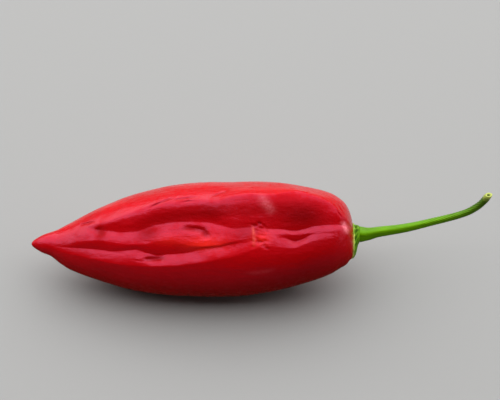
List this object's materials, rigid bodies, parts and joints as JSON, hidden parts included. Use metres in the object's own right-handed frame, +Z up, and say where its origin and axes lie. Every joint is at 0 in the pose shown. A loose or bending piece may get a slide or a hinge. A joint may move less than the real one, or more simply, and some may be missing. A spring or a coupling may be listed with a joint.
{
  "type": "chilli pepper",
  "caption": "Large pointed red chilli pepper lying on its side, with a folded glossy pod, a green calyx and a long curved green stem.",
  "frame": {"origin": "middle of the small flat spot under the pod that it rests on", "axes": "+X along the pod from its tip to its stem, +Y to the side away from the folded face, +Z up; -Z is the outward normal of the rest face"},
  "size_m": [0.2126, 0.0527, 0.0559],
  "materials": {
    "pod_skin": "glossy waxy red fruit skin",
    "calyx_green": "fresh green plant tissue, faintly waxy",
    "stem_green": "fresh green ribbed stalk, faintly waxy"
  },
  "bodies": {
    "root": {"pod": "pod_skin", "calyx": "calyx_green", "stem": "stem_green"}
  },
  "joints": []
}
